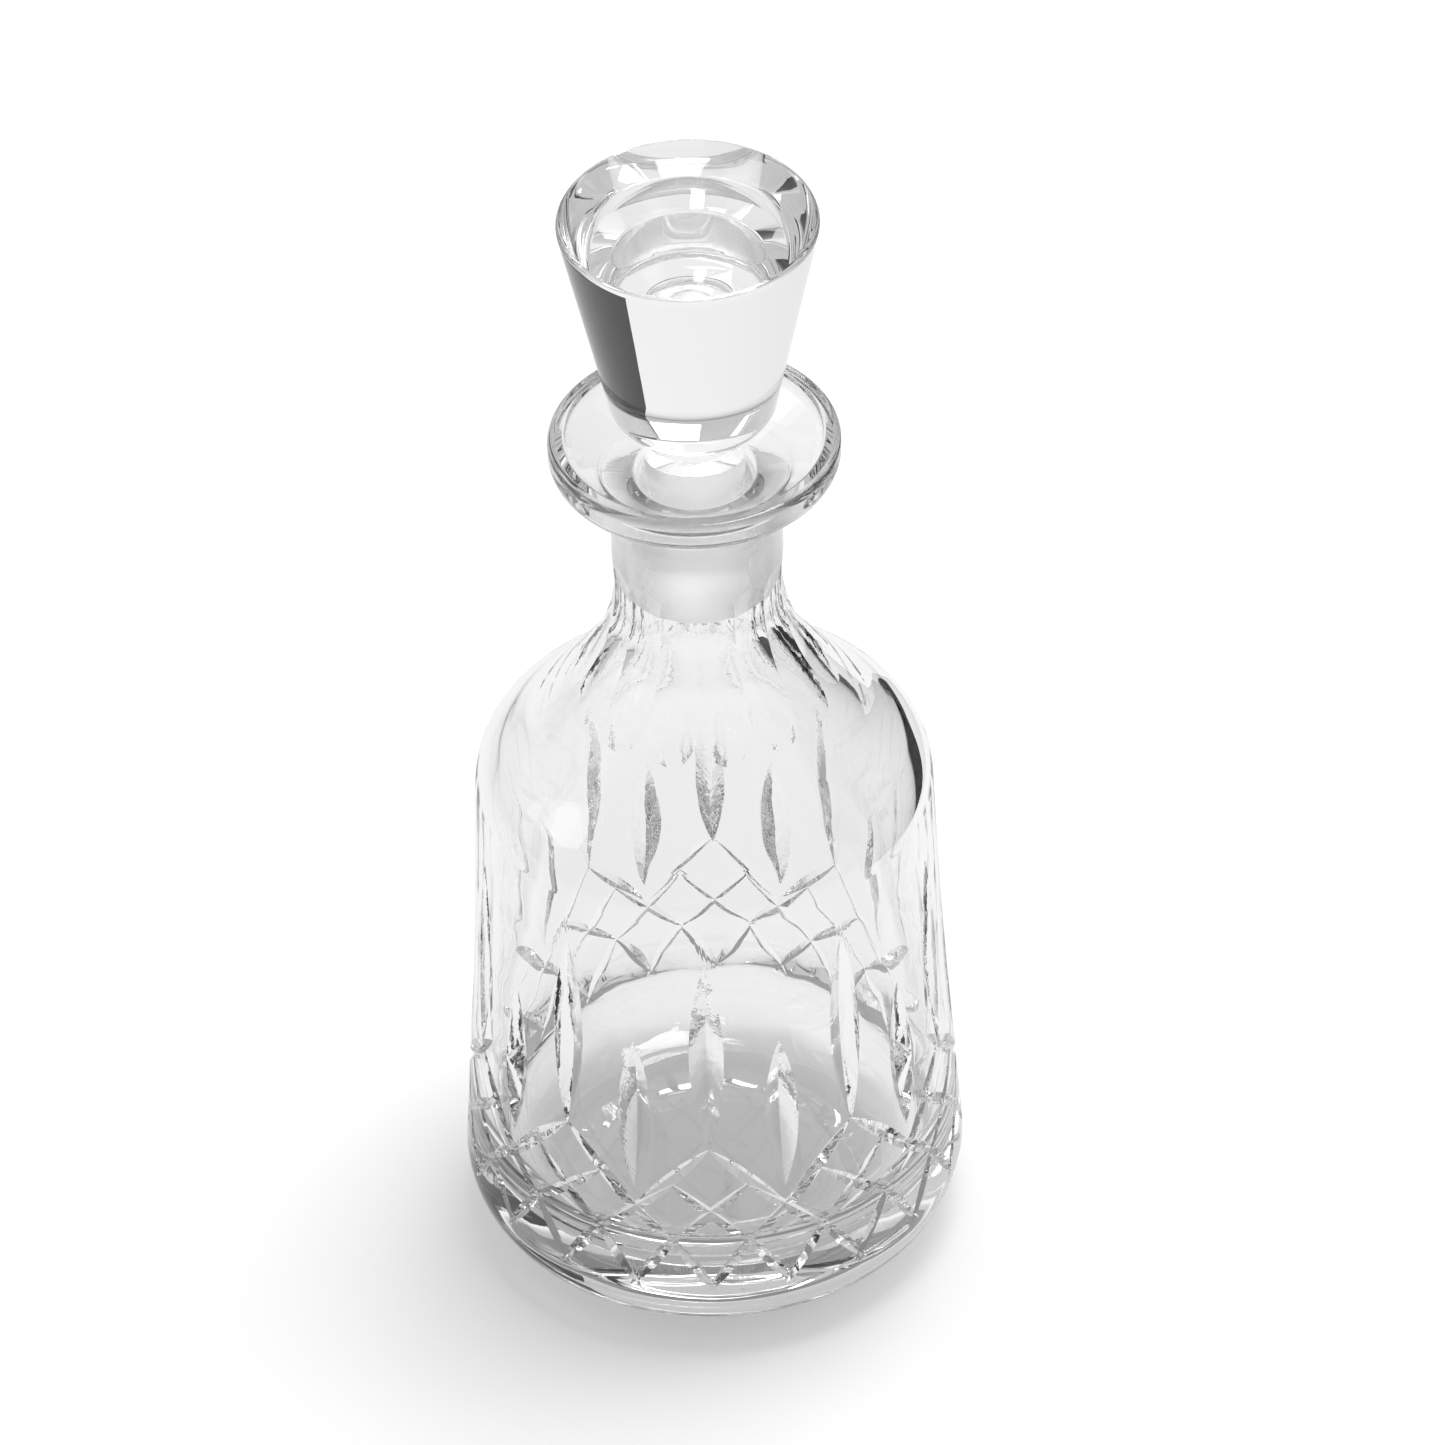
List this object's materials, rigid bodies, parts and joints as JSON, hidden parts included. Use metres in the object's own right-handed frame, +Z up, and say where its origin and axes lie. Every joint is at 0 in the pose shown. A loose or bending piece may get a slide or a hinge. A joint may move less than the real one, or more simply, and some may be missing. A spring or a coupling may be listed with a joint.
{
  "type": "wine decanter",
  "caption": "Cut crystal wine decanter: a straight-sided bottle with a fluted neck and a wide pouring lip, closed by a solid cone-shaped stopper on a ground peg.",
  "frame": {"origin": "middle of the foot, on the surface that the bottle stands on", "axes": "+Z up along the axis of the bottle and the stopper; a tall cut of the pattern faces -Y"},
  "size_m": [0.1066, 0.1066, 0.2672],
  "materials": {
    "bottle_crystal": "polished cut crystal",
    "stopper_crystal": "polished crystal with a ground peg"
  },
  "bodies": {
    "bottle": {"bottle": "bottle_crystal"},
    "stopper": {"stopper": "stopper_crystal"}
  },
  "joints": [
    {"name": "stopper_lift", "type": "slide", "parent": "bottle", "child": "stopper", "axis": [0, 0, 1], "range_m": [0, 0.045]}
  ]
}
